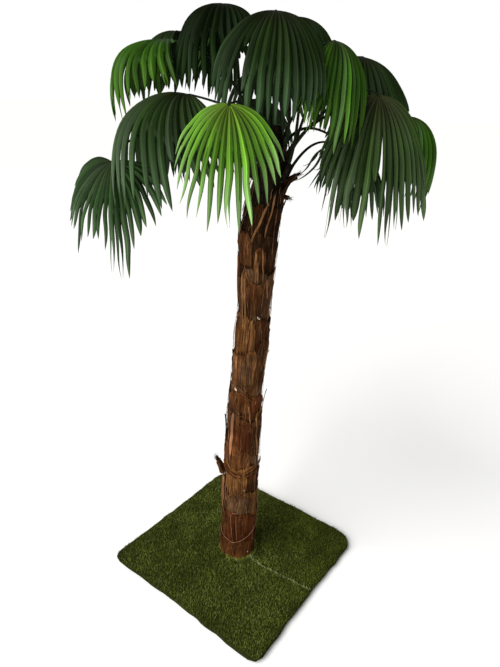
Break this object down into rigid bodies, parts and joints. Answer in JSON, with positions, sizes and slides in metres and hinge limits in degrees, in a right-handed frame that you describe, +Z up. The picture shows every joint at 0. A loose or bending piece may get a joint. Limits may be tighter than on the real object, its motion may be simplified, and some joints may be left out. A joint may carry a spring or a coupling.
{
  "type": "artificial fan palm on a turf board",
  "caption": "Free-standing artificial fan palm: fibre-wrapped leaning trunk on a thin square board covered with turf, with a round crown of drooping fan leaves on thin stalks.",
  "frame": {"origin": "middle of the board's flat underside, on the surface that the palm stands on", "axes": "+Z up; the board's sides run along X and Y; the trunk's tip leans a little towards +X and +Y"},
  "size_m": [0.958, 0.9688, 1.8293],
  "materials": {
    "board": "dark rough board",
    "turf": "dark green artificial turf with a short pile",
    "trunk_fibre": "red-brown palm fibre wrapped in overlapping sheets",
    "tuft_fibre": "frayed brown fibre",
    "stalk": "dark green plastic over wire",
    "bright_leaf": "bright yellow-green woven polyester with a soft sheen",
    "fresh_leaf": "mid green woven polyester with a soft sheen",
    "dark_leaf": "dark green woven polyester with a soft sheen",
    "olive_leaf": "olive green woven polyester with a soft sheen"
  },
  "bodies": {
    "root": {"base_board": "board", "turf_cover": "turf", "trunk": "trunk_fibre", "fibre_tuft_upper": "tuft_fibre", "fibre_tuft_middle": "tuft_fibre", "fibre_tuft_lower": "tuft_fibre", "frond_01": "bright_leaf", "frond_02": "dark_leaf", "frond_03": "olive_leaf", "frond_04": "dark_leaf", "frond_05": "dark_leaf", "frond_06": "fresh_leaf", "frond_07": "fresh_leaf", "frond_08": "dark_leaf", "frond_09": "dark_leaf", "frond_10": "fresh_leaf", "frond_11": "dark_leaf", "frond_12": "dark_leaf", "frond_13": "dark_leaf", "frond_14": "dark_leaf", "frond_15": "dark_leaf", "frond_16": "fresh_leaf", "frond_17": "fresh_leaf", "frond_18": "dark_leaf", "frond_19": "dark_leaf", "frond_20": "dark_leaf", "stalk_01": "stalk", "stalk_02": "stalk", "stalk_03": "stalk", "stalk_04": "stalk", "stalk_05": "stalk", "stalk_06": "stalk", "stalk_07": "stalk", "stalk_08": "stalk", "stalk_09": "stalk", "stalk_10": "stalk", "stalk_11": "stalk", "stalk_12": "stalk", "stalk_13": "stalk", "stalk_14": "stalk", "stalk_15": "stalk", "stalk_16": "stalk", "stalk_17": "stalk", "stalk_18": "stalk", "stalk_19": "stalk", "stalk_20": "stalk"}
  },
  "joints": []
}
